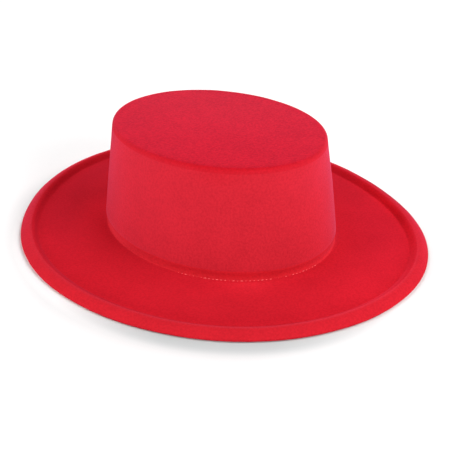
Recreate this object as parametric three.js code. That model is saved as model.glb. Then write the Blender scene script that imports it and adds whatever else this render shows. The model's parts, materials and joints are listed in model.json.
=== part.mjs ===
// Flat-crowned riding hat, blocked from one sheet of felt.
// Millimetres, Z up. The hat rests on Z = 0, faces -Y, and the head oval is longest along Y.

import * as THREE from 'three';

// Head oval, measured on the outside of the felt at the head line where crown and brim part
const HEAD_LENGTH = 202.8;
const HEAD_WIDTH = 165.9;

// Felt sheet
const FELT = 2.0;

// Crown: a straight wall that narrows upwards to a flat top with a rounded edge
const CROWN_HEIGHT = 89.5;
const WALL_TAPER = 9.9;
const TOP_ROUND = 3.0;

// Pinched head line: a shallow cove between the brim and the foot of the wall, which hangs over it
const COVE_HEIGHT = 7.5;
const COVE_DEPTH = 0.6;
const FOOT_OVERHANG = 1.0;
const HEAD_MOUTH_ROUND = 2.4;

// Brim: flat, with an edge that turns up from a tight crease to a crest and rolls over outwards and down
const BRIM_WIDTH = 73.8;
const NOSE_ROUND = 1.5;
const NOSE_SLOPE = 0.28 * Math.PI;
const REST_STRIP = 1.2;

// The cut edge strays a little from a true oval: wide and narrow lobes around the brim, front first
const EDGE_LOBES = [
  { lobes: 1, cosine: -1.2, sine: 0.9 },
  { lobes: 2, cosine: 0.9, sine: -1.4 },
  { lobes: 3, cosine: 0.8, sine: 1.2 },
  { lobes: 4, cosine: 0.4, sine: -0.1 },
  { lobes: 5, cosine: -0.3, sine: 0.6 },
];

// Rolled edge, upper face: inset from the cut edge and rise above the brim
const ROLL_UPPER = [
  { inset: 16.4, rise: 0.0 },
  { inset: 15.0, rise: 0.08 },
  { inset: 13.9, rise: 0.8 },
  { inset: 12.7, rise: 2.0 },
  { inset: 11.5, rise: 3.15 },
  { inset: 10.2, rise: 4.0 },
  { inset: 8.8, rise: 4.4 },
  { inset: 7.0, rise: 4.28 },
  { inset: 5.2, rise: 3.75 },
  { inset: 3.5, rise: 2.9 },
  { inset: 1.9, rise: 1.8 },
];

// Rolled edge, lower face: the hollow under the crest, from the brim out to the rest strip
const ROLL_LOWER = [
  { inset: 16.2, rise: 0.0 },
  { inset: 14.4, rise: 0.2 },
  { inset: 12.6, rise: 1.25 },
  { inset: 11.3, rise: 2.55 },
  { inset: 10.2, rise: 3.6 },
  { inset: 8.9, rise: 4.3 },
  { inset: 7.4, rise: 4.3 },
  { inset: 5.8, rise: 3.8 },
  { inset: 4.2, rise: 2.3 },
];

// Rounds and curves are cut into this many steps
const SEGMENTS = 96;
const TOP_ROUND_STEPS = 5;
const COVE_STEPS = 7;
const UPPER_STEPS = 10;
const LOWER_STEPS = 8;
const NOSE_STEPS = 5;
const MOUTH_STEPS = 4;
const BRIM_STEPS = 3;

const FELT_COLOUR = 0xb5101c;
const FELT_ROUGHNESS = 0.95;

const BRIM_TOP = FELT;
const HEAD_RADIUS = (HEAD_LENGTH + HEAD_WIDTH) / 4;
const HEAD_STRETCH = (HEAD_LENGTH - HEAD_WIDTH) / 4;
const EDGE_RADIUS = HEAD_RADIUS + BRIM_WIDTH;
const FOOT_RADIUS = HEAD_RADIUS + FOOT_OVERHANG;
const FOOT_HEIGHT = BRIM_TOP + COVE_HEIGHT;
const TOP_RADIUS = FOOT_RADIUS - WALL_TAPER;
const WALL_LEAN = Math.atan2(WALL_TAPER, CROWN_HEIGHT - FOOT_HEIGHT);

/** Point of the turned section: distance from the axis and height. */
function at(radius, height) {
  return new THREE.Vector2(radius, height);
}

/** Round of the section from one bearing to another, both in radians up from straight outwards. */
function round(centre, radius, from, to, steps) {
  const points = [];
  for (let step = 0; step <= steps; step += 1) {
    const bearing = from + ((to - from) * step) / steps;
    points.push(at(centre.x + radius * Math.cos(bearing), centre.y + radius * Math.sin(bearing)));
  }
  return points;
}

/** Smooth run through the rows of a rolled-edge table, above the given height. */
function rolled(rows, height, steps) {
  const knots = rows.map((row) => at(EDGE_RADIUS - row.inset, height + row.rise));
  return new THREE.SplineCurve(knots).getPoints(steps);
}

/** Straight run that leaves out both of its ends. */
function between(start, end, steps) {
  const points = [];
  for (let step = 1; step < steps; step += 1) {
    points.push(start.clone().lerp(end, step / steps));
  }
  return points;
}

/** Pinched cove, from the head line up to the foot of the wall, set in by the given depth. */
function cove(inset) {
  const points = [];
  for (let step = 0; step <= COVE_STEPS; step += 1) {
    const share = step / COVE_STEPS;
    const pinch = COVE_DEPTH * Math.sin(Math.PI * share);
    points.push(at(HEAD_RADIUS + FOOT_OVERHANG * share - pinch - inset, BRIM_TOP + COVE_HEIGHT * share));
  }
  return points;
}

/** Rounded edge between the wall and the flat top, for a face set in by the given depth. */
function topEdge(inset) {
  const radius = TOP_ROUND - inset;
  const reach = TOP_ROUND * Math.tan(Math.PI / 4 + WALL_LEAN / 2);
  const centre = at(TOP_RADIUS - reach, CROWN_HEIGHT - TOP_ROUND);
  return round(centre, radius, WALL_LEAN, Math.PI / 2, TOP_ROUND_STEPS);
}

/** Inside of the crown and underside of the brim, from the axis out to the rest strip. */
function insideRun() {
  const edge = topEdge(FELT).reverse();
  const pinched = cove(FELT).reverse();
  const mouthTop = pinched[COVE_STEPS - 1];
  const mouthCentre = at(mouthTop.x + HEAD_MOUTH_ROUND, HEAD_MOUTH_ROUND);
  const mouth = round(mouthCentre, HEAD_MOUTH_ROUND, Math.PI, Math.PI * 1.5, MOUTH_STEPS);
  const hollow = rolled(ROLL_LOWER, 0, LOWER_STEPS);
  const run = [at(0, CROWN_HEIGHT - FELT)];
  run.push(...edge, ...pinched.slice(0, COVE_STEPS - 1), ...mouth);
  run.push(...between(mouth[MOUTH_STEPS], hollow[0], BRIM_STEPS), ...hollow);
  return run;
}

/** Rest strip and rounded nose of the brim edge. */
function edgeRun() {
  const noseCentre = at(EDGE_RADIUS - NOSE_ROUND, NOSE_ROUND);
  const nose = round(noseCentre, NOSE_ROUND, -Math.PI / 2, NOSE_SLOPE, NOSE_STEPS);
  return [at(noseCentre.x - REST_STRIP, 0), ...nose];
}

/** Upper face of the brim and outside of the crown, from the crest in and up to the axis. */
function outsideRun() {
  const roll = rolled(ROLL_UPPER, BRIM_TOP, UPPER_STEPS).reverse();
  const pinched = cove(0);
  const run = [...roll, ...between(roll[UPPER_STEPS], pinched[0], BRIM_STEPS), ...pinched];
  run.push(...topEdge(0), at(0, CROWN_HEIGHT));
  return run;
}

/** How far the brim edge strays from the oval at a bearing, growing from nothing at the head line. */
function stray(radius, bearing) {
  const share = THREE.MathUtils.smoothstep(radius, HEAD_RADIUS, EDGE_RADIUS - ROLL_UPPER[0].inset);
  let sum = 0;
  for (const { lobes, cosine, sine } of EDGE_LOBES) {
    sum += cosine * Math.cos(lobes * bearing) + sine * Math.sin(lobes * bearing);
  }
  return share * sum;
}

/** Turns the section, draws the round hat out to the head oval and centres it. */
function feltGeometry() {
  const section = [...insideRun(), ...edgeRun(), ...outsideRun()];
  const geometry = new THREE.LatheGeometry(section, SEGMENTS);
  const position = geometry.getAttribute('position');
  for (let index = 0; index < position.count; index += 1) {
    const round = Math.hypot(position.getX(index), position.getZ(index));
    const bearing = Math.atan2(position.getX(index), position.getZ(index));
    const stretch = HEAD_STRETCH * Math.min(1, round / (TOP_RADIUS - TOP_ROUND));
    const radius = round + stray(round, bearing);
    const across = (radius - stretch) * Math.sin(bearing);
    const along = -(radius + stretch) * Math.cos(bearing);
    position.setXYZ(index, across, along, position.getY(index));
  }
  geometry.computeBoundingBox();
  const middle = geometry.boundingBox.getCenter(new THREE.Vector3());
  geometry.translate(-middle.x, -middle.y, 0);
  geometry.computeVertexNormals();
  return geometry;
}

const felt = new THREE.MeshStandardMaterial({ color: FELT_COLOUR, roughness: FELT_ROUGHNESS, metalness: 0 });
const feltBody = new THREE.Mesh(feltGeometry(), felt);
feltBody.name = 'felt_body';

const hat = new THREE.Group();
hat.name = 'cordobes_hat';
hat.add(feltBody);

export default hat;
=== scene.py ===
"""Red flat-crowned felt hat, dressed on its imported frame."""
import json
import logging
import math
from dataclasses import dataclass, field
from enum import Enum

import bpy
import numpy as np
from mathutils import Matrix, Vector

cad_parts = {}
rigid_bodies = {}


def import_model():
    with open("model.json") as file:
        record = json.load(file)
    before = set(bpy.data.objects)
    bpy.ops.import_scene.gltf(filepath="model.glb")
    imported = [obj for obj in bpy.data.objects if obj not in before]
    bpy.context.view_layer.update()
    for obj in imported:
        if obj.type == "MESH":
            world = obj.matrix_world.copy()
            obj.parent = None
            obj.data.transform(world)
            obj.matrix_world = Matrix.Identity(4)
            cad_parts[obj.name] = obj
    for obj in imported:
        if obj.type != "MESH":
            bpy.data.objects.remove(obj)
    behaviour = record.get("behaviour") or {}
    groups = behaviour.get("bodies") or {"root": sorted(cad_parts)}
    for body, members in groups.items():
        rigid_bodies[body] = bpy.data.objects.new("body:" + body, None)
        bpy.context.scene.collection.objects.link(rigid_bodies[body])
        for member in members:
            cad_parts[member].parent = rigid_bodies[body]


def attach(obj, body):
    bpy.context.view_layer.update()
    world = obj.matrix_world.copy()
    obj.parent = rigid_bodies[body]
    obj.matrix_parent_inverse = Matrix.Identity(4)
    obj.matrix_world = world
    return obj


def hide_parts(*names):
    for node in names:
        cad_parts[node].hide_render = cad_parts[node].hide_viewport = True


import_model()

LOG = logging.getLogger("felt_hat")
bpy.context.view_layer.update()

ROOT_BODY = "root"
FELT_NODE = "felt_body"
# Name of the colour on the felt's vertices that holds its painted shade and painted light
PAINTED_LIGHT = "felt_painted_light"

MM = 0.001
TINY = 1e-6
IMAGE_SIDE = 450.0
ORIGIN = (0.0, 0.0, 0.0)
UP = Vector((0.0, 0.0, 1.0))

# Sockets of a Mix node that mixes colours; its other kinds have sockets of the same names
MIX_SHARE = 0
MIX_FIRST = 6
MIX_SECOND = 7
MIX_RESULT = 2

Array = np.ndarray
Node = bpy.types.Node
Piece = bpy.types.Object
Material = bpy.types.Material
Colour = tuple[float, float, float, float]
Station = tuple[float, float]
Span = tuple[float, float]
WHITE: Colour = (1.0, 1.0, 1.0, 1.0)


class Zone(Enum):
    """Parts of the felt that are brushed or pressed differently, by material slot; the fold and
    the bead's crease carry painted shade, the cove painted light.
    """

    TOP = 0
    FOLD = 1
    WALL = 2
    COVE = 3
    BRIM = 4
    BEAD = 5
    EDGE = 6


def wrapped(angle: float | Array) -> float | Array:
    """Bring an angle, or each of an array, to within half a turn of nothing."""
    return (angle + math.pi) % math.tau - math.pi


def deselect_all() -> None:
    """Leave nothing selected and no object active."""
    bpy.ops.object.select_all(action="DESELECT")
    bpy.context.view_layer.objects.active = None


def activate(piece: Piece) -> None:
    """Select one object alone and make it active.

    Args:
        piece: the object.
    """
    deselect_all()
    piece.select_set(True)
    bpy.context.view_layer.objects.active = piece


def apply_modifier(piece: Piece, modifier: bpy.types.Modifier) -> None:
    """Apply one modifier of a piece."""
    activate(piece)
    bpy.ops.object.modifier_apply(modifier=modifier.name)


def read_points(piece: Piece) -> Array:
    """Read the places of a mesh's vertices.

    Args:
        piece: the mesh object.

    Returns:
        An array of one row per vertex, in metres.
    """
    flat = np.empty(len(piece.data.vertices) * 3)
    piece.data.vertices.foreach_get("co", flat)
    return flat.reshape(-1, 3)


def write_points(piece: Piece, points: Array) -> None:
    """Put a mesh's vertices at the given places."""
    piece.data.vertices.foreach_set("co", points.ravel())
    piece.data.update()


@dataclass(frozen=True)
class Grain:
    """Fine unevenness of a material.

    Attributes:
        scale: features per metre.
        detail: octaves of the noise.
        roughness: weight of the finer octaves.
        distortion: how far the noise warps itself.
    """

    scale: float
    detail: float
    roughness: float
    distortion: float = 0.0


@dataclass(frozen=True)
class Relief:
    """Bump of a material: how strongly it shows, and its height in metres."""

    strength: float
    depth: float


class NodeSheet:
    """Short hand for laying out one material's nodes."""

    def __init__(self, name: str) -> None:
        """Start a material with its shader and its place on the piece.

        Args:
            name: the material's name.
        """
        self.material = bpy.data.materials.new(name)
        self.material.use_nodes = True
        self.tree = self.material.node_tree
        self.tree.nodes.clear()
        self.output = self.add("ShaderNodeOutputMaterial")
        self.shader = self.add("ShaderNodeBsdfPrincipled")
        self.link(self.shader, "BSDF", self.output, "Surface")
        self.place = self.add("ShaderNodeTexCoord")

    def add(self, kind: str) -> Node:
        """Add a node of the given kind and return it."""
        return self.tree.nodes.new(kind)

    def link(self, source: Node, out: str | int, target: Node, into: str | int) -> None:
        """Join an output of one node to an input of another."""
        self.tree.links.new(source.outputs[out], target.inputs[into])

    def painted(self, name: str) -> Node:
        """Read a colour that is kept on the mesh.

        Args:
            name: the colour's name.

        Returns:
            The node that gives the colour.
        """
        node = self.add("ShaderNodeAttribute")
        node.attribute_name = name
        return node

    def noise(self, grain: Grain) -> Node:
        """Lay a noise on the piece's own coordinates.

        Args:
            grain: how coarse and how rough it is.

        Returns:
            The noise node.
        """
        node = self.add("ShaderNodeTexNoise")
        node.inputs["Scale"].default_value = grain.scale
        node.inputs["Detail"].default_value = grain.detail
        node.inputs["Roughness"].default_value = grain.roughness
        node.inputs["Distortion"].default_value = grain.distortion
        self.link(self.place, "Object", node, "Vector")
        return node

    def ramp(self, source: Node, out: str, places: Span, colours: tuple[Colour, Colour]) -> Node:
        """Turn a value into a colour between two stops.

        Args:
            source: the node that gives the value.
            out: the name of its output.
            places: where the two stops lie.
            colours: their colours.

        Returns:
            The ramp node.
        """
        node = self.add("ShaderNodeValToRGB")
        for stop, place, colour in zip(node.color_ramp.elements, places, colours):
            stop.position = place
            stop.color = colour
        self.link(source, out, node, "Fac")
        return node

    def blend(self, mode: str, share: float, first: Node, second: Node) -> Node:
        """Mix two colour nodes.

        Args:
            mode: the mixing mode.
            share: weight of the second colour.
            first: node that gives the lower colour.
            second: node that gives the upper colour.

        Returns:
            The mixing node.
        """
        node = self.add("ShaderNodeMix")
        node.data_type = "RGBA"
        node.blend_type = mode
        node.inputs[MIX_SHARE].default_value = share
        for source, into in ((first, MIX_FIRST), (second, MIX_SECOND)):
            self.link(source, MIX_RESULT if source.type == "MIX" else "Color", node, into)
        return node

    def combine(self, operation: str, source: Node, out: str,
                amount: Vector | None = None) -> Node:
        """Work on a vector.

        Args:
            operation: what is done to it.
            source: the node that gives the vector.
            out: the name of its output.
            amount: the second vector, where the operation needs one.

        Returns:
            The vector node.
        """
        node = self.add("ShaderNodeVectorMath")
        node.operation = operation
        self.link(source, out, node, 0)
        if amount is not None:
            node.inputs[1].default_value = amount
        return node

    def span(self, source: Node, out: str, limits: Span) -> Node:
        """Spread a value between two limits from nothing to one.

        Args:
            source: the node that gives the value.
            out: the name of its output.
            limits: the value that becomes nothing and the one that becomes one.

        Returns:
            The spreading node.
        """
        node = self.add("ShaderNodeMapRange")
        node.inputs["From Min"].default_value, node.inputs["From Max"].default_value = limits
        self.link(source, out, node, "Value")
        return node

    def bump(self, source: Node, relief: Relief, under: Node | None = None) -> Node:
        """Raise the surface by a noise.

        Args:
            source: the noise.
            relief: how strongly and how high it is raised.
            under: a bump that this one is laid over.

        Returns:
            The bump node.
        """
        node = self.add("ShaderNodeBump")
        node.inputs["Strength"].default_value = relief.strength
        node.inputs["Distance"].default_value = relief.depth
        self.link(source, "Fac", node, "Height")
        if under is not None:
            self.link(under, "Normal", node, "Normal")
        return node

    def complete(self, values: dict[str, float | Colour]) -> Material:
        """Set what is the same all over on the shader's own sockets.

        Args:
            values: the value of each socket, by the socket's name.

        Returns:
            The finished material.
        """
        for socket, value in values.items():
            self.shader.inputs[socket].default_value = value
        return self.material


@dataclass(frozen=True)
class FeltFinish:
    """Napped red felt: a dense dye, a soft sheen and short matted fibres."""

    name: str
    deep: Colour
    bright: Colour
    sheen: float
    nap_low: Colour = (0.86, 0.84, 0.84, 1.0)
    nap_high: Colour = WHITE
    cloud: Grain = Grain(scale=38.0, detail=3.0, roughness=0.55)
    nap: Grain = Grain(scale=620.0, detail=3.0, roughness=0.6)
    fibre: Grain = Grain(scale=1500.0, detail=2.0, roughness=0.7, distortion=1.2)
    cloud_span: Span = (0.32, 0.68)
    nap_span: Span = (0.34, 0.62)
    nap_relief: Relief = Relief(strength=0.35, depth=0.5 * MM)
    fibre_relief: Relief = Relief(strength=0.3, depth=0.3 * MM)
    roughness: float = 0.93
    specular: float = 0.0
    sheen_roughness: float = 0.4
    sheen_tint: Colour = (1.0, 0.42, 0.86, 1.0)

    def make(self) -> Material:
        """Build the felt material.

        Returns:
            The finished material.
        """
        sheet = NodeSheet(self.name)
        cloud, nap, fibre = [sheet.noise(grain) for grain in (self.cloud, self.nap, self.fibre)]
        dye = sheet.ramp(cloud, "Fac", self.cloud_span, (self.deep, self.bright))
        worn = sheet.ramp(nap, "Fac", self.nap_span, (self.nap_low, self.nap_high))
        even = sheet.blend("MULTIPLY", 1.0, dye, worn)
        # The felt's colour is multiplied by the painted shade and painted light kept on its
        # vertices
        colour = sheet.blend("MULTIPLY", 1.0, even, sheet.painted(PAINTED_LIGHT))
        sheet.link(colour, MIX_RESULT, sheet.shader, "Base Color")
        matted = sheet.bump(nap, self.nap_relief)
        fibres = sheet.bump(fibre, self.fibre_relief, matted)
        sheet.link(fibres, "Normal", sheet.shader, "Normal")
        return sheet.complete({
            "Roughness": self.roughness,
            "Specular IOR Level": self.specular,
            "Sheen Weight": self.sheen,
            "Sheen Roughness": self.sheen_roughness,
            "Sheen Tint": self.sheen_tint,
        })


FELT_FINISHES = {
    Zone.TOP: FeltFinish(
        name="crown_top_felt", sheen=0.11, nap_low=(0.76, 0.72, 0.74, 1.0),
        deep=(0.585, 0.0114, 0.0250, 1.0), bright=(0.630, 0.0126, 0.0275, 1.0)),
    # Fold at the top's edge: coloured deeper than top and wall as a painted shade line
    Zone.FOLD: FeltFinish(
        name="crown_fold_painted_shade_felt", sheen=0.15,
        deep=(0.550, 0.0132, 0.0245, 1.0), bright=(0.585, 0.0144, 0.0268, 1.0)),
    Zone.WALL: FeltFinish(
        name="brushed_wall_felt", sheen=0.34,
        deep=(0.560, 0.0178, 0.0305, 1.0), bright=(0.600, 0.0192, 0.0330, 1.0)),
    # Pinched cove: coloured lighter than the brim as painted light against the shade it lies in
    Zone.COVE: FeltFinish(
        name="pinched_painted_light_felt", sheen=0.08,
        deep=(0.615, 0.0172, 0.0280, 1.0), bright=(0.655, 0.0184, 0.0300, 1.0)),
    Zone.BRIM: FeltFinish(
        name="pressed_brim_felt", sheen=0.06,
        deep=(0.565, 0.0104, 0.0206, 1.0), bright=(0.600, 0.0112, 0.0224, 1.0)),
    # Crease of the bead: coloured deeper than the brim as painted shade
    Zone.BEAD: FeltFinish(
        name="bead_crease_painted_shade_felt", sheen=0.05,
        deep=(0.540, 0.0100, 0.0195, 1.0), bright=(0.575, 0.0108, 0.0215, 1.0)),
    Zone.EDGE: FeltFinish(
        name="brushed_edge_felt", sheen=0.13,
        deep=(0.570, 0.0134, 0.0226, 1.0), bright=(0.605, 0.0144, 0.0244, 1.0)),
}


@dataclass(frozen=True)
class Band:
    """Ring of the felt that a patch of painted shade or painted light lies in, on the brim unless
    said, in millimetres.

    Attributes:
        radius: mean radius of its middle.
        breadth: how far in and out it fades.
        height: height of its middle.
        depth: how far up and down it fades.
    """

    radius: float
    breadth: float
    height: float = 2.0
    depth: float = 4.0


@dataclass(frozen=True)
class PaintedLightPatch:
    """Soft patch of painted shade or painted light: felt coloured a little deeper or lighter.

    Attributes:
        band: the ring that it lies in.
        bearing: direction of its middle from the front of the hat, in degrees.
        spread: how far around the hat it fades, in degrees.
        gain: share that it adds to the felt's red, green and blue.
    """

    band: Band
    bearing: float
    spread: float
    gain: tuple[float, float, float]

    def weigh(self, bearings: Array, radii: Array, heights: Array) -> Array:
        """Tell how strongly the patch shows at some places.

        Args:
            bearings: bearing of each place from the front, in radians.
            radii: its mean radius, in metres.
            heights: its height, in metres.

        Returns:
            A weight from nothing to one for each place.
        """
        around = wrapped(bearings - math.radians(self.bearing)) / math.radians(self.spread)
        outward = (radii / MM - self.band.radius) / self.band.breadth
        above = (heights / MM - self.band.height) / self.band.depth
        return np.exp(-around ** 2 - outward ** 2 - above ** 2)


CROWN_TOP = Band(radius=60.0, breadth=45.0, height=89.5, depth=1.0)
TOP_FOLD = Band(radius=80.5, breadth=4.0, height=88.8, depth=1.5)
UNDER_FOLD = Band(radius=84.0, breadth=6.0, height=83.8, depth=2.6)
UPPER_WALL = Band(radius=86.0, breadth=10.0, height=74.0, depth=14.0)
PINCH = Band(radius=92.5, breadth=3.0, height=5.0, depth=5.0)
HEAD_LINE = Band(radius=95.0, breadth=4.0, depth=3.0)
HEAD_SIDE = Band(radius=96.0, breadth=5.0, depth=3.0)
HEAD_CORNER = Band(radius=97.0, breadth=6.0, depth=3.0)
STITCH_SIDE = Band(radius=101.0, breadth=9.0, depth=3.0)
INNER_BRIM = Band(radius=105.0, breadth=14.0)
NEAR_BRIM = Band(radius=122.0, breadth=22.0)
MIDDLE_BRIM = Band(radius=122.0, breadth=24.0)
WIDE_BRIM = Band(radius=130.0, breadth=24.0)
LEFT_BRIM = Band(radius=136.0, breadth=14.0)
OUTER_BRIM = Band(radius=138.0, breadth=14.0)
BACK_BRIM = Band(radius=138.0, breadth=18.0)
BEAD_FOOT = Band(radius=152.5, breadth=3.2, height=4.0, depth=6.0)
BEAD_SLOPE = Band(radius=153.6, breadth=3.4, height=4.0, depth=6.0)
CREST = Band(radius=157.2, breadth=1.2, height=6.4, depth=3.0)
SIDE_EDGE = Band(radius=161.0, breadth=5.0, height=4.0, depth=5.0)
NEAR_EDGE = Band(radius=162.0, breadth=4.0, height=4.0, depth=4.0)
ROLLED_EDGE = Band(radius=162.0, breadth=5.0, height=4.0, depth=4.0)
BACK_EDGE = Band(radius=163.0, breadth=5.0, height=4.5, depth=5.0)

# Soft patches of painted shade and painted light on the felt, kept on its vertices as a colour
PAINTED_LIGHT_PATCHES = (
    # Painted shade on the bead's inner slope on the left, painted light on it on the right
    PaintedLightPatch(BEAD_SLOPE, bearing=235.0, spread=42.0, gain=(-0.34, -0.42, -0.38)),
    PaintedLightPatch(BEAD_SLOPE, bearing=52.0, spread=15.0, gain=(0.50, 0.30, 0.24)),
    PaintedLightPatch(BEAD_SLOPE, bearing=32.0, spread=9.0, gain=(0.24, 0.22, 0.20)),
    # Painted shade on the rolled edge at the back right
    PaintedLightPatch(BACK_EDGE, bearing=63.0, spread=20.0, gain=(-0.29, -0.45, -0.36)),
    # Painted light at the bead's foot on the near side and a painted highlight along its crest
    # there
    PaintedLightPatch(BEAD_FOOT, bearing=308.0, spread=50.0, gain=(0.22, 0.40, 0.30)),
    PaintedLightPatch(CREST, bearing=308.0, spread=60.0, gain=(0.05, 0.75, 0.70)),
    # Slight painted light and shade on the brim and edge on the near side
    PaintedLightPatch(NEAR_BRIM, bearing=308.0, spread=30.0, gain=(-0.04, 0.08, 0.02)),
    PaintedLightPatch(NEAR_EDGE, bearing=308.0, spread=40.0, gain=(-0.06, 0.0, 0.0)),
    # Painted shade along the top's fold on the near side and in a small spot beneath it
    PaintedLightPatch(TOP_FOLD, bearing=300.0, spread=48.0, gain=(-0.07, -0.36, -0.32)),
    PaintedLightPatch(UNDER_FOLD, bearing=301.0, spread=9.0, gain=(-0.09, -0.50, -0.50)),
    # Painted sheen: the top deeper on the near side and lighter on the far side, the upper wall
    # lighter at the hat's front
    PaintedLightPatch(CROWN_TOP, bearing=308.0, spread=70.0, gain=(-0.03, -0.24, -0.20)),
    PaintedLightPatch(CROWN_TOP, bearing=128.0, spread=70.0, gain=(0.0, 0.22, 0.08)),
    PaintedLightPatch(UPPER_WALL, bearing=0.0, spread=22.0, gain=(0.0, 0.12, 0.16)),
    # Painted light beside the stitches, along the head line and in the pinched cove on both sides
    PaintedLightPatch(STITCH_SIDE, bearing=317.0, spread=10.0, gain=(0.06, 0.28, 0.20)),
    PaintedLightPatch(HEAD_LINE, bearing=308.0, spread=40.0, gain=(0.05, 0.20, 0.12)),
    PaintedLightPatch(PINCH, bearing=218.0, spread=40.0, gain=(0.0, 0.50, 0.45)),
    PaintedLightPatch(PINCH, bearing=38.0, spread=40.0, gain=(-0.08, 0.40, 0.40)),
    # Painted shade and painted light over the brim: darker behind and at the left, lighter
    # elsewhere
    PaintedLightPatch(BACK_BRIM, bearing=84.0, spread=20.0, gain=(-0.12, -0.02, 0.0)),
    PaintedLightPatch(OUTER_BRIM, bearing=168.0, spread=28.0, gain=(-0.12, -0.05, 0.0)),
    PaintedLightPatch(INNER_BRIM, bearing=215.0, spread=26.0, gain=(0.08, 0.02, 0.04)),
    PaintedLightPatch(MIDDLE_BRIM, bearing=262.0, spread=26.0, gain=(0.06, 0.08, 0.04)),
    PaintedLightPatch(WIDE_BRIM, bearing=36.0, spread=30.0, gain=(0.06, 0.10, 0.20)),
    PaintedLightPatch(LEFT_BRIM, bearing=225.0, spread=24.0, gain=(-0.07, -0.12, -0.07)),
    # Painted light at the head line's sides and on the rolled edge
    PaintedLightPatch(HEAD_CORNER, bearing=2.0, spread=24.0, gain=(0.12, 0.16, 0.10)),
    PaintedLightPatch(HEAD_SIDE, bearing=224.0, spread=22.0, gain=(0.09, 0.08, 0.06)),
    PaintedLightPatch(ROLLED_EDGE, bearing=350.0, spread=24.0, gain=(0.07, 0.07, 0.14)),
    PaintedLightPatch(SIDE_EDGE, bearing=35.0, spread=24.0, gain=(0.02, 0.03, 0.14)),
    PaintedLightPatch(ROLLED_EDGE, bearing=262.0, spread=20.0, gain=(0.05, 0.03, 0.04)),
)


@dataclass(frozen=True)
class ThreadFinish:
    """Red sewing thread, paler than the felt."""

    name: str = "pale_red_thread"
    shade: Colour = (0.72, 0.05, 0.07, 1.0)
    light: Colour = (0.92, 0.15, 0.16, 1.0)
    twist: Grain = Grain(scale=900.0, detail=2.0, roughness=0.5)
    twist_span: Span = (0.35, 0.65)
    twist_relief: Relief = Relief(strength=0.4, depth=0.2 * MM)
    roughness: float = 0.6
    sheen: float = 0.2

    def make(self) -> Material:
        """Build the thread material.

        Returns:
            The finished material.
        """
        sheet = NodeSheet(self.name)
        twist = sheet.noise(self.twist)
        colour = sheet.ramp(twist, "Fac", self.twist_span, (self.shade, self.light))
        sheet.link(colour, "Color", sheet.shader, "Base Color")
        strands = sheet.bump(twist, self.twist_relief)
        sheet.link(strands, "Normal", sheet.shader, "Normal")
        return sheet.complete({"Roughness": self.roughness, "Sheen Weight": self.sheen})


@dataclass(frozen=True)
class FloorFinish:
    """Studio floor, pale to the horizon, with a painted shadow round the hat.

    Attributes:
        light: lightness of the bare floor.
        far_from: distance in metres from which the floor glows.
        far_to: distance at which it glows in full.
        far_glow: how strongly it glows there.
        half_width: half width of the oval that the painted shadow follows.
        half_length: its half length.
        cool: how much faster red fades than the rest as the painted shadow deepens.
        near: how closely a place faces the near side as the painted shadow turns from faint to
            deep.
        deep: painted shadow on the near side: millimetres out from the oval, and lightness.
        faint: fainter painted shadow on the other sides, in the same way.
    """

    name: str = "pale_floor_painted_shadow"
    light: float = 0.93
    far_from: float = 0.8
    far_to: float = 2.5
    far_glow: float = 0.95
    half_width: float = 148.0 * MM
    half_length: float = 168.0 * MM
    cool: float = 1.14
    roughness: float = 0.9
    specular: float = 0.1
    near: Span = (0.64, 0.97)
    deep: tuple[Station, ...] = (
        (-8.0, 0.60), (-1.0, 0.66), (2.0, 0.74), (6.0, 0.88), (10.0, 0.95), (16.0, 1.0),
    )
    faint: tuple[Station, ...] = (
        (-8.0, 0.97), (4.0, 0.95), (9.0, 0.89), (14.0, 0.92), (22.0, 0.98), (28.0, 1.0),
    )

    def tone(self, share: float) -> Colour:
        """Colour of the floor at a share of its lightness."""
        return (self.light * share ** self.cool, self.light * share, self.light * share, 1.0)

    def shaded(self, sheet: NodeSheet, away: Node, shades: tuple[Station, ...]) -> Node:
        """Lay one painted shadow round the hat.

        Args:
            sheet: the floor's nodes.
            away: node that gives the distance from the middle, one on the oval.
            shades: millimetres out from the oval, and lightness.

        Returns:
            The node that gives the painted shadow.
        """
        mean = (self.half_width + self.half_length) / 2
        reach = [1.0 + distance * MM / mean for distance, _ in shades]
        tones = [self.tone(share) for _, share in shades]
        first, last = reach[0], reach[-1]
        span = sheet.span(away, "Value", (first, last))
        colour = sheet.ramp(span, "Result", (0.0, 1.0), (tones[0], tones[-1]))
        for place, tone in zip(reach[1:-1], tones[1:-1]):
            stop = colour.color_ramp.elements.new((place - first) / (last - first))
            stop.color = tone
        return colour

    def make(self, middle: Vector, towards: Vector) -> Material:
        """Build the floor material.

        Args:
            middle: where the painted shadow is centred.
            towards: the side on which it is deep.

        Returns:
            The finished material.
        """
        sheet = NodeSheet(self.name)
        oval = Vector((self.half_width, self.half_length, 1.0))
        moved = sheet.combine("SUBTRACT", sheet.place, "Object", middle)
        scaled = sheet.combine("DIVIDE", moved, "Vector", oval)
        away = sheet.combine("LENGTH", scaled, "Vector")
        outward = sheet.combine("NORMALIZE", moved, "Vector")
        facing = sheet.combine("DOT_PRODUCT", outward, "Vector", towards)
        nearness = sheet.span(facing, "Value", self.near)
        # Painted shadow round the hat: faint on the far sides, deep on the near side, blended by
        # how a place faces
        faint = self.shaded(sheet, away, self.faint)
        deep = self.shaded(sheet, away, self.deep)
        colour = sheet.blend("MIX", 0.0, faint, deep)
        sheet.link(nearness, "Result", colour, MIX_SHARE)
        sheet.link(colour, MIX_RESULT, sheet.shader, "Base Color")
        distance = sheet.combine("LENGTH", sheet.place, "Object")
        glow = sheet.span(distance, "Value", (self.far_from, self.far_to))
        glow.inputs["To Max"].default_value = self.far_glow
        sheet.link(glow, "Result", sheet.shader, "Emission Strength")
        return sheet.complete({
            "Emission Color": WHITE,
            "Roughness": self.roughness,
            "Specular IOR Level": self.specular,
        })


@dataclass(frozen=True)
class Lobe:
    """One wide-and-narrow wave of the brim edge around the hat."""

    count: int
    cosine: float
    sine: float


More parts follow.
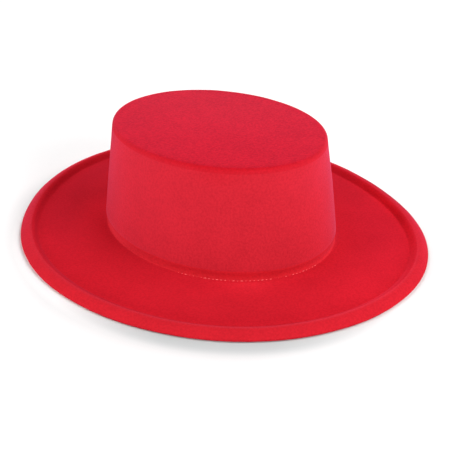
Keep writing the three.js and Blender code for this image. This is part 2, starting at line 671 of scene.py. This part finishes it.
@dataclass(frozen=True)
class Unevenness:
    """Slight waves or dimples that blocking leaves in the felt, in metres."""

    name: str
    size: float
    strength: float


@dataclass(frozen=True)
class Cuts:
    """How finely the felt is cut: steps along its section, and rings as shares of a flat."""

    around: int = 112
    top_rings: tuple[float, ...] = (0.05, 0.2, 0.4, 0.6, 0.8, 0.94)
    top_edge: int = 7
    wall: int = 12
    cove: int = 10
    brim: int = 12
    roll: int = 30
    nose: int = 8
    under_roll: int = 16
    under_brim: int = 8
    mouth: int = 5
    under_cove: int = 7
    under_wall: int = 8
    under_edge: int = 4
    under_rings: tuple[float, ...] = (0.7, 0.4, 0.05)
    subdivision: int = 1
    bearing_rounds: int = 6


@dataclass
class FeltBody:
    """The one sheet of felt: crown, pinched head line, brim and rolled edge, in metres.

    Attributes:
        crest_inset: how far in from the cut edge the brushed edge reaches.
        crease_inset: how far in the crease of the bead reaches.
        fold_top: depth below the flat top at which the fold begins.
        full_oval: share of the head radius beyond which the felt is a full oval.
        roll_upper: upper face of the rolled edge: inset and rise, in millimetres.
        roll_lower: its lower face.
    """

    head_length: float = 202.8 * MM
    head_width: float = 165.9 * MM
    felt: float = 2.0 * MM
    crown_height: float = 89.5 * MM
    wall_taper: float = 9.9 * MM
    top_round: float = 3.0 * MM
    cove_height: float = 7.5 * MM
    cove_depth: float = 0.6 * MM
    foot_overhang: float = 1.0 * MM
    mouth_round: float = 2.4 * MM
    brim_width: float = 73.8 * MM
    nose_round: float = 1.5 * MM
    nose_slope: float = 0.28 * math.pi
    rest_strip: float = 1.2 * MM
    crest_inset: float = 9.4 * MM
    crease_inset: float = 15.0 * MM
    fold_top: float = 0.2 * MM
    slump: float = 1.3 * MM
    slump_bearing: float = math.radians(22.0)
    slump_spread: float = math.radians(24.0)
    slump_from: float = 55.0 * MM
    slump_to: float = 84.0 * MM
    full_oval: float = 0.8
    cuts: Cuts = Cuts()
    lobes: tuple[Lobe, ...] = (
        Lobe(count=1, cosine=-1.2 * MM, sine=0.9 * MM),
        Lobe(count=2, cosine=0.9 * MM, sine=-1.4 * MM),
        Lobe(count=3, cosine=0.8 * MM, sine=1.2 * MM),
        Lobe(count=4, cosine=0.4 * MM, sine=-0.1 * MM),
        Lobe(count=5, cosine=-0.3 * MM, sine=0.6 * MM),
    )
    roll_upper: tuple[Station, ...] = (
        (16.4, 0.0), (15.0, 0.08), (13.9, 0.8), (12.7, 2.0), (11.5, 3.15), (10.2, 4.0),
        (8.8, 4.4), (7.0, 4.28), (5.2, 3.75), (3.5, 2.9), (1.9, 1.8),
    )
    roll_lower: tuple[Station, ...] = (
        (16.2, 0.0), (14.4, 0.2), (12.6, 1.25), (11.3, 2.55), (10.2, 3.6), (8.9, 4.3),
        (7.4, 4.3), (5.8, 3.8), (4.2, 2.3),
    )
    unevenness: tuple[Unevenness, ...] = (
        Unevenness(name="felt_wave", size=75.0 * MM, strength=0.6 * MM),
        Unevenness(name="felt_dimple", size=18.0 * MM, strength=0.22 * MM),
    )
    axis: Vector = field(default_factory=lambda: Vector(ORIGIN))

    @property
    def head_radius(self) -> float:
        """Mean radius of the head line, outside the felt."""
        return (self.head_length + self.head_width) / 4

    @property
    def stretch(self) -> float:
        """How far the oval is drawn out front to back and drawn in across."""
        return (self.head_length - self.head_width) / 4

    @property
    def edge_radius(self) -> float:
        """Mean radius of the brim's edge."""
        return self.head_radius + self.brim_width

    @property
    def wall_lean(self) -> float:
        """Angle by which the wall leans in from upright."""
        return math.atan2(self.wall_taper, self.crown_height - self.felt - self.cove_height)

    @property
    def top_radius(self) -> float:
        """Mean radius of the crown's upper edge if it were sharp."""
        return self.head_radius + self.foot_overhang - self.wall_taper

    @staticmethod
    def arc(centre: Station, radius: float, start: float, end: float, steps: int) -> list[Station]:
        """Points along a round of the section.

        Args:
            centre: middle of the round.
            radius: its radius.
            start: first bearing, up from straight outwards.
            end: last bearing.
            steps: number of steps.

        Returns:
            The stations, both ends included.
        """
        bearings = np.linspace(start, end, steps + 1)
        return [(centre[0] + radius * math.cos(bearing), centre[1] + radius * math.sin(bearing))
                for bearing in bearings]

    @staticmethod
    def straight(start: Station, end: Station, steps: int) -> list[Station]:
        """Points along a straight run, both ends left out."""
        shares = [step / steps for step in range(1, steps)]
        return [(start[0] + (end[0] - start[0]) * share, start[1] + (end[1] - start[1]) * share)
                for share in shares]

    def rolled(self, rows: tuple[Station, ...], height: float, steps: int) -> list[Station]:
        """Smooth run through the rows of a rolled edge.

        Args:
            rows: inset from the edge and rise, in millimetres.
            height: what the rises are measured from.
            steps: number of steps.

        Returns:
            The stations from the first row to the last.
        """
        knots = [Vector((self.edge_radius - inset * MM, height + rise * MM))
                 for inset, rise in rows]
        run: list[Station] = []
        spans = len(knots) - 1
        for step in range(steps + 1):
            place = spans * step / steps
            span = min(int(place), spans - 1)
            t = place - span
            before = knots[max(span - 1, 0)]
            start, end = knots[span], knots[span + 1]
            after = knots[min(span + 2, spans)]
            leave, arrive = (end - before) / 2, (after - start) / 2
            # Cubic with the slopes of the rows on either side
            point = (start * (2 * t ** 3 - 3 * t ** 2 + 1) + leave * (t ** 3 - 2 * t ** 2 + t)
                     + end * (3 * t ** 2 - 2 * t ** 3) + arrive * (t ** 3 - t ** 2))
            run.append((point.x, point.y))
        return run

    def cove(self, inset: float, steps: int) -> list[Station]:
        """Pinched head line from the foot of the wall down to the brim.

        Args:
            inset: depth of the face below the outside of the felt.
            steps: number of steps.

        Returns:
            The stations, both ends included.
        """
        run: list[Station] = []
        for step in range(steps, -1, -1):
            share = step / steps
            pinch = self.cove_depth * math.sin(math.pi * share)
            radius = self.head_radius + self.foot_overhang * share - pinch - inset
            run.append((radius, self.felt + self.cove_height * share))
        return run

    def top_edge(self, inset: float, steps: int) -> list[Station]:
        """Rounded edge from the flat top over to the wall.

        Args:
            inset: depth of the face below the outside of the felt.
            steps: number of steps.

        Returns:
            The stations, both ends included.
        """
        reach = self.top_round * math.tan(math.pi / 4 + self.wall_lean / 2)
        centre = (self.top_radius - reach, self.crown_height - self.top_round)
        return self.arc(centre, self.top_round - inset, math.pi / 2, self.wall_lean, steps)

    def outside(self) -> list[Station]:
        """Section of the outer face.

        Returns:
            The stations from near the crown's middle to the rolled edge.
        """
        edge = self.top_edge(0.0, self.cuts.top_edge)
        cove = self.cove(0.0, self.cuts.cove)
        roll = self.rolled(self.roll_upper, self.felt, self.cuts.roll)
        flat = edge[0][0]
        run = [(flat * share, self.crown_height) for share in self.cuts.top_rings] + edge
        run += self.straight(edge[-1], cove[0], self.cuts.wall) + cove
        return run + self.straight(cove[-1], roll[0], self.cuts.brim) + roll

    def edge(self) -> list[Station]:
        """Section of the brim's edge.

        Returns:
            The stations of the rounded nose and of the strip that the edge rests on.
        """
        centre = (self.edge_radius - self.nose_round, self.nose_round)
        nose = self.arc(centre, self.nose_round, self.nose_slope, -math.pi / 2, self.cuts.nose)
        return nose + [(centre[0] - self.rest_strip, 0.0)]

    def inside(self) -> list[Station]:
        """Section of the under face.

        Returns:
            The stations from the rest strip to near the middle of the head hollow.
        """
        hollow = self.rolled(self.roll_lower, 0.0, self.cuts.under_roll)[::-1]
        cove = self.cove(self.felt, self.cuts.under_cove)[::-1]
        centre = (cove[1][0] + self.mouth_round, self.mouth_round)
        mouth = self.arc(centre, self.mouth_round, 1.5 * math.pi, math.pi, self.cuts.mouth)
        edge = self.top_edge(self.felt, self.cuts.under_edge)[::-1]
        flat, ceiling = edge[-1][0], self.crown_height - self.felt
        run = hollow + self.straight(hollow[-1], mouth[0], self.cuts.under_brim)
        run += mouth + cove[2:]
        run += self.straight(cove[-1], edge[0], self.cuts.under_wall) + edge
        return run + [(flat * share, ceiling) for share in self.cuts.under_rings]

    def semi_axes(self, radius: float) -> tuple[float, float]:
        """Half width and half length of the oval at a mean radius."""
        drawn = self.stretch * min(1.0, radius / (self.top_radius - self.top_round))
        return radius - drawn, radius + drawn

    def raise_sheet(self) -> Piece:
        """Extrude the felt ring by ring from the middle of the crown top.

        Returns:
            The closed sheet as a mesh object.
        """
        run = self.outside() + self.edge() + self.inside()
        start = (0.0, 0.0, run[0][1])
        deselect_all()
        bpy.ops.mesh.primitive_circle_add(vertices=self.cuts.around, radius=1.0,
                                          fill_type="TRIFAN", location=start)
        sheet = bpy.context.active_object
        sheet.name = "felt_hat_body"
        bpy.ops.object.mode_set(mode="EDIT")
        bpy.ops.mesh.select_all(action="SELECT")
        first = self.semi_axes(run[0][0])
        bpy.ops.transform.resize(value=(first[0], first[1], 1.0), center_override=start)
        bpy.ops.mesh.region_to_loop()
        for (radius, height), (wider, further) in zip(run, run[1:]):
            old, new = self.semi_axes(radius), self.semi_axes(wider)
            rise = {"value": (0.0, 0.0, further - height)}
            bpy.ops.mesh.extrude_region_move(TRANSFORM_OT_translate=rise)
            bpy.ops.transform.resize(value=(new[0] / old[0], new[1] / old[1], 1.0),
                                     center_override=(0.0, 0.0, further))
        bpy.ops.mesh.edge_face_add()
        bpy.ops.mesh.poke()
        bpy.ops.mesh.select_all(action="SELECT")
        bpy.ops.mesh.normals_make_consistent(inside=False)
        bpy.ops.object.mode_set(mode="OBJECT")
        bpy.ops.object.transform_apply(location=True, rotation=True, scale=True)
        return sheet

    def polar(self, points: Array) -> tuple[Array, Array]:
        """Read places on the true oval as mean radius and bearing.

        Args:
            points: the places, one row each.

        Returns:
            The mean radius of each place and its bearing from the front.
        """
        across, ahead = points[:, 0], -points[:, 1]
        bearings = np.arctan2(across / self.head_width, ahead / self.head_length)
        radii = np.hypot(across, ahead)
        for _ in range(self.cuts.bearing_rounds):
            lean = np.arctan2(across / np.maximum(radii - self.stretch, TINY),
                              ahead / (radii + self.stretch))
            bearings = np.where(radii > self.head_radius * self.full_oval, lean, bearings)
            radii = np.hypot(across + self.stretch * np.sin(bearings),
                             self.stretch * np.cos(bearings) - ahead)
        return radii, bearings

    def stray(self, radii: Array, bearings: Array) -> Array:
        """How far the brim strays from a true oval.

        Args:
            radii: mean radius of each vertex.
            bearings: its bearing from the front.

        Returns:
            The outward shift of each vertex.
        """
        full = self.edge_radius - self.roll_upper[0][0] * MM
        share = np.clip((radii - self.head_radius) / (full - self.head_radius), 0.0, 1.0)
        share = share * share * (3.0 - 2.0 * share)
        waves = sum(lobe.cosine * np.cos(lobe.count * bearings)
                    + lobe.sine * np.sin(lobe.count * bearings) for lobe in self.lobes)
        return share * waves

    def sag(self, radii: Array, bearings: Array, heights: Array) -> Array:
        """How far the upper part of the crown has slumped in on one side.

        Args:
            radii: mean radius of each vertex.
            bearings: its bearing from the front.
            heights: its height.

        Returns:
            The inward shift of each vertex.
        """
        around = wrapped(bearings - self.slump_bearing) / self.slump_spread
        up = np.clip((heights - self.slump_from) / (self.slump_to - self.slump_from), 0.0, 1.0)
        out = np.clip(radii / self.top_radius, 0.0, 1.0)
        return self.slump * np.exp(-around ** 2) * up * out ** 3

    def settle(self, sheet: Piece) -> tuple[Array, Array]:
        """Let the brim stray and the crown sag, centre the hat and note its axis.

        Args:
            sheet: the felt as a true oval.

        Returns:
            The mean radius of each vertex and its bearing from the front.
        """
        points = read_points(sheet)
        radii, bearings = self.polar(points)
        shift = self.stray(radii, bearings) - self.sag(radii, bearings, points[:, 2])
        points[:, 0] += shift * np.sin(bearings)
        points[:, 1] -= shift * np.cos(bearings)
        middle = (points.min(axis=0) + points.max(axis=0)) / 2
        middle[2] = 0.0
        self.axis = Vector(-middle)
        write_points(sheet, points - middle)
        return radii, bearings

    def soften(self, sheet: Piece) -> None:
        """Round the sheet off and give it the slight unevenness of blocked felt.

        Args:
            sheet: the felt.
        """
        smooth = sheet.modifiers.new("felt_smooth", "SUBSURF")
        smooth.levels = self.cuts.subdivision
        smooth.render_levels = self.cuts.subdivision
        apply_modifier(sheet, smooth)
        for uneven in self.unevenness:
            texture = bpy.data.textures.new(uneven.name, "CLOUDS")
            texture.noise_scale = uneven.size
            texture.noise_depth = 1
            push = sheet.modifiers.new(uneven.name, "DISPLACE")
            push.texture = texture
            push.texture_coords = "LOCAL"
            push.strength = uneven.strength
            push.mid_level = 0.5
            apply_modifier(sheet, push)
        points = read_points(sheet)
        points[:, 2] = np.maximum(points[:, 2], 0.0)
        write_points(sheet, points)
        activate(sheet)
        bpy.ops.object.shade_smooth()

    def zone(self, radius: float, height: float) -> Zone:
        """Tell which zone a face belongs to.

        Args:
            radius: its mean radius.
            height: its height.

        Returns:
            The zone, counted from the flat top down the wall and out to the rolled edge.
        """
        if height > self.crown_height - self.fold_top:
            return Zone.TOP
        if height > self.crown_height - self.top_round:
            return Zone.FOLD
        if height > self.felt + self.cove_height:
            return Zone.WALL
        if radius < self.head_radius + self.foot_overhang:
            return Zone.COVE
        if radius > self.edge_radius - self.crest_inset:
            return Zone.EDGE
        return Zone.BEAD if radius > self.edge_radius - self.crease_inset else Zone.BRIM

    def dress(self, sheet: Piece, radii: Array, finishes: dict[Zone, FeltFinish]) -> None:
        """Give each zone of the felt its finish.

        Args:
            sheet: the felt.
            radii: the mean radius of each vertex.
            finishes: the finish of each zone.
        """
        sheet.data.materials.clear()
        for zone in Zone:
            sheet.data.materials.append(finishes[zone].make())
        for face in sheet.data.polygons:
            radius = float(np.mean(radii[list(face.vertices)]))
            face.material_index = self.zone(radius, face.center.z).value

    @staticmethod
    def paint(sheet: Piece, radii: Array, bearings: Array, painted_patches: tuple[PaintedLightPatch, ...]) -> None:
        """Keep the felt's painted shade and painted light on its vertices as a colour.

        Args:
            sheet: the felt.
            radii: the mean radius of each vertex.
            bearings: its bearing from the front.
            painted_patches: the patches of painted shade and painted light.
        """
        heights = read_points(sheet)[:, 2]
        painted_shading = np.ones((len(heights), len(WHITE)))
        for patch in painted_patches:
            painted_shading[:, :3] *= 1.0 + np.outer(patch.weigh(bearings, radii, heights), patch.gain)
        kept = sheet.data.attributes.new(PAINTED_LIGHT, "FLOAT_COLOR", "POINT")
        kept.data.foreach_set("color", painted_shading.ravel())

    def build(self, finishes: dict[Zone, FeltFinish], painted_patches: tuple[PaintedLightPatch, ...]) -> Piece:
        """Model the felt body and dress it.

        Args:
            finishes: the finish of each zone.
            painted_patches: the patches of painted shade and painted light on the felt.

        Returns:
            The finished piece.
        """
        sheet = self.raise_sheet()
        radii, bearings = self.settle(sheet)
        self.dress(sheet, radii, finishes)
        self.paint(sheet, radii, bearings, painted_patches)
        self.soften(sheet)
        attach(sheet, ROOT_BODY)
        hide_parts(FELT_NODE)
        return sheet


@dataclass
class StitchRow:
    """Machine stitches along the head line, in metres and radians.

    Attributes:
        body: the felt that is sewn.
        dip: how far a stitch's ends bend down, as a share of its thickness.
        lift: height of the stitches' middle above the brim where they show plainly.
        sink: how much deeper they lie elsewhere.
        plain_from: bearing from which they show plainly.
        plain_to: bearing up to which they do.
        fade: turn over which they sink.
        slants: least and most that one is turned, as shares of the slant.
        sizes: least and most that one is scaled.
        drops: least and most that one is lowered, as shares of the unevenness.
        samples: points along the head line that the pitch is measured on.
    """

    body: FeltBody
    outset: float = 0.5 * MM
    length: float = 3.2 * MM
    width: float = 0.75 * MM
    thickness: float = 0.6 * MM
    dip: float = 0.6
    pitch: float = 3.1 * MM
    slant: float = math.radians(5.0)
    lift: float = 0.1 * MM
    sink: float = 0.55 * MM
    unevenness: float = 0.2 * MM
    plain_from: float = math.radians(-74.0)
    plain_to: float = math.radians(-14.0)
    fade: float = math.radians(18.0)
    slants: Span = (-1.0, 2.6)
    sizes: Span = (0.85, 1.12)
    drops: Span = (-0.6, 1.0)
    segments: int = 8
    rings: int = 6
    samples: int = 4001
    seed: int = 7

    def one(self) -> tuple[Array, list[tuple[int, ...]]]:
        """Model one stitch with its ends dipping into the felt.

        Returns:
            Its vertices about its own middle and its faces.
        """
        deselect_all()
        bpy.ops.mesh.primitive_uv_sphere_add(segments=self.segments, ring_count=self.rings,
                                             radius=0.5)
        stitch = bpy.context.active_object
        bpy.ops.object.mode_set(mode="EDIT")
        bpy.ops.mesh.select_all(action="SELECT")
        bpy.ops.transform.rotate(value=math.pi / 2, orient_axis="Y", center_override=ORIGIN)
        bpy.ops.transform.resize(value=(self.length, self.width, self.thickness),
                                 center_override=ORIGIN)
        bpy.ops.object.mode_set(mode="OBJECT")
        points = read_points(stitch)
        points[:, 2] -= self.thickness * self.dip * (2.0 * points[:, 0] / self.length) ** 2
        faces = [tuple(face.vertices) for face in stitch.data.polygons]
        bpy.data.objects.remove(stitch, do_unlink=True)
        return points, faces

    def depth(self, bearing: float) -> float:
        """How deep the stitches sink into the felt away from where they show plainly.

        Args:
            bearing: bearing of a stitch from the front.

        Returns:
            How far it lies below the plain ones.
        """
        turned = wrapped(bearing - self.plain_from) + self.plain_from
        beyond = max(self.plain_from - turned, turned - self.plain_to, 0.0)
        return self.sink * min(1.0, beyond / self.fade)

    def places(self) -> list[tuple[Vector, float]]:
        """Lay out the stitches an even pitch apart along the head line.

        Returns:
            The middle and the heading of each stitch.
        """
        half_width, half_length = self.body.semi_axes(self.body.head_radius + self.outset)
        turns = np.linspace(0.0, math.tau, self.samples)
        line = np.stack([half_width * np.sin(turns), -half_length * np.cos(turns)], axis=1)
        steps = np.linalg.norm(np.diff(line, axis=0), axis=1)
        travelled = np.concatenate([[0.0], np.cumsum(steps)])
        count = round(travelled[-1] / self.pitch)
        found = np.interp(np.arange(count) * travelled[-1] / count, travelled, turns)
        result: list[tuple[Vector, float]] = []
        for turn in found:
            across, along = half_width * math.sin(turn), -half_length * math.cos(turn)
            height = self.body.felt + self.lift - self.depth(turn)
            heading = math.atan2(half_length * math.sin(turn), half_width * math.cos(turn))
            result.append((Vector((across, along, height)) + self.body.axis, heading))
        return result

    def build(self, finish: ThreadFinish) -> Piece:
        """Copy the stitch along the head line and dress the row.

        Args:
            finish: the thread it is sewn with.

        Returns:
            The finished piece.
        """
        shape, faces = self.one()
        chance = np.random.default_rng(self.seed)
        points: list[tuple[float, ...]] = []
        loops: list[tuple[int, ...]] = []
        for middle, heading in self.places():
            turned = heading + self.slant * chance.uniform(*self.slants)
            grow = chance.uniform(*self.sizes)
            middle.z -= self.unevenness * chance.uniform(*self.drops)
            turn = Matrix.Rotation(turned, 3, "Z")
            start = len(points)
            points += [tuple(turn @ (Vector(point) * grow) + middle) for point in shape]
            loops += [tuple(index + start for index in face) for face in faces]
        mesh = bpy.data.meshes.new("head_line_stitches")
        mesh.from_pydata(points, [], loops)
        row = bpy.data.objects.new("head_line_stitches", mesh)
        bpy.context.collection.objects.link(row)
        activate(row)
        bpy.ops.object.shade_smooth()
        row.data.materials.append(finish.make())
        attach(row, ROOT_BODY)
        return row


@dataclass(frozen=True)
class Lamp:
    """Soft square lamp, placed from the hat's axis as the camera sees it, in metres and watts."""

    name: str
    right: float
    towards: float
    up: float
    side: float
    power: float


@dataclass
class Studio:
    """Pale floor, soft light and the camera, in metres.

    Attributes:
        focal_pixels: the camera's focal length, in pixels of the photograph.
        middle: the pixel that the camera faces.
        shade_towards: how far the floor's painted shadow lies towards the camera.
        shade_left: how far it lies to the left.
        sky: light of the surround, which is left dark.
    """

    azimuth: float = math.radians(-51.98)
    elevation: float = math.radians(29.57)
    roll: float = math.radians(0.13)
    distance: float = 0.7004
    focal_pixels: float = 831.7
    middle: tuple[float, float] = (218.57, 221.20)
    sensor: float = 36.0
    floor_side: float = 200.0
    floor_drop: float = 0.2 * MM
    shade_towards: float = 16.0 * MM
    shade_left: float = 2.0 * MM
    sky: float = 0.0
    aim_height: float = 30.0 * MM
    lamps: tuple[Lamp, ...] = (
        Lamp("key_light", right=1.2, towards=1.2, up=0.75, side=0.9, power=23.0),
        Lamp("right_light", right=1.1, towards=0.1, up=1.4, side=1.0, power=17.0),
        Lamp("left_light", right=-1.1, towards=0.1, up=1.4, side=1.0, power=14.3),
        Lamp("low_left_light", right=-1.6, towards=0.9, up=0.15, side=1.0, power=29.6),
        Lamp("back_light", right=0.3, towards=-1.8, up=0.5, side=1.2, power=31.2),
    )

    def bearings(self) -> tuple[Vector, Vector]:
        """Level directions to the camera's right and towards the camera."""
        sine, cosine = math.sin(self.azimuth), math.cos(self.azimuth)
        return Vector((cosine, sine, 0.0)), Vector((sine, -cosine, 0.0))

    def floor(self, finish: FloorFinish) -> None:
        """Lay the floor.

        Args:
            finish: what the floor is made of.
        """
        deselect_all()
        bpy.ops.mesh.primitive_plane_add(size=self.floor_side,
                                         location=(0.0, 0.0, -self.floor_drop))
        floor = bpy.context.active_object
        floor.name = "studio_floor"
        right, towards = self.bearings()
        # Centre of the floor's painted shadow
        middle = towards * self.shade_towards - right * self.shade_left
        floor.data.materials.append(finish.make(middle, towards))

    @staticmethod
    def hang(lamp: Lamp, place: Vector, aim: Vector) -> None:
        """Hang one lamp.

        Args:
            lamp: the lamp.
            place: where it hangs.
            aim: what it faces.
        """
        light = bpy.data.lights.new(lamp.name, "AREA")
        light.shape = "SQUARE"
        light.size = lamp.side
        light.energy = lamp.power
        hung = bpy.data.objects.new(lamp.name, light)
        bpy.context.collection.objects.link(hung)
        hung.location = place
        hung.rotation_euler = (aim - place).to_track_quat("-Z", "Y").to_euler()

    def lights(self, axis: Vector) -> None:
        """Light the hat from the front right, high on both sides, low left and behind.

        Args:
            axis: the hat's upright axis.
        """
        right, towards = self.bearings()
        aim = axis + UP * self.aim_height
        for lamp in self.lamps:
            place = axis + right * lamp.right + towards * lamp.towards + UP * lamp.up
            self.hang(lamp, place, aim)

    def world(self) -> None:
        """Set the surround and show colours as they are."""
        world = bpy.data.worlds.new("studio_surround")
        world.use_nodes = True
        world.node_tree.nodes["Background"].inputs["Strength"].default_value = self.sky
        bpy.context.scene.world = world
        bpy.context.scene.view_settings.view_transform = "Standard"

    def camera(self, axis: Vector, height: float) -> None:
        """Set the camera at the photographed angle.

        Args:
            axis: the hat's upright axis.
            height: height of the brim that the camera faces.
        """
        lens = bpy.data.cameras.new("camera")
        lens.sensor_width = self.sensor
        lens.lens = self.focal_pixels / IMAGE_SIDE * self.sensor
        lens.shift_x = (IMAGE_SIDE / 2 - self.middle[0]) / IMAGE_SIDE
        lens.shift_y = (self.middle[1] - IMAGE_SIDE / 2) / IMAGE_SIDE
        camera = bpy.data.objects.new("camera", lens)
        bpy.context.collection.objects.link(camera)
        target = axis + UP * height
        _, towards = self.bearings()
        back = towards * math.cos(self.elevation) + UP * math.sin(self.elevation)
        place = target + self.distance * back
        facing = (target - place).to_track_quat("-Z", "Y").to_matrix().to_4x4()
        tilt = Matrix.Rotation(-self.roll, 4, "Z")
        camera.matrix_world = Matrix.Translation(place) @ facing @ tilt
        bpy.context.scene.camera = camera


def main() -> None:
    """Build the hat, then the studio around it."""
    logging.basicConfig(level=logging.INFO, format="%(message)s")
    body = FeltBody()
    sheet = body.build(FELT_FINISHES, PAINTED_LIGHT_PATCHES)
    LOG.info("felt body: %d faces", len(sheet.data.polygons))
    row = StitchRow(body).build(ThreadFinish())
    LOG.info("stitch row: %d faces", len(row.data.polygons))
    studio = Studio()
    studio.floor(FloorFinish())
    studio.lights(body.axis)
    studio.world()
    studio.camera(body.axis, body.felt)


if __name__ == "__main__":
    main()
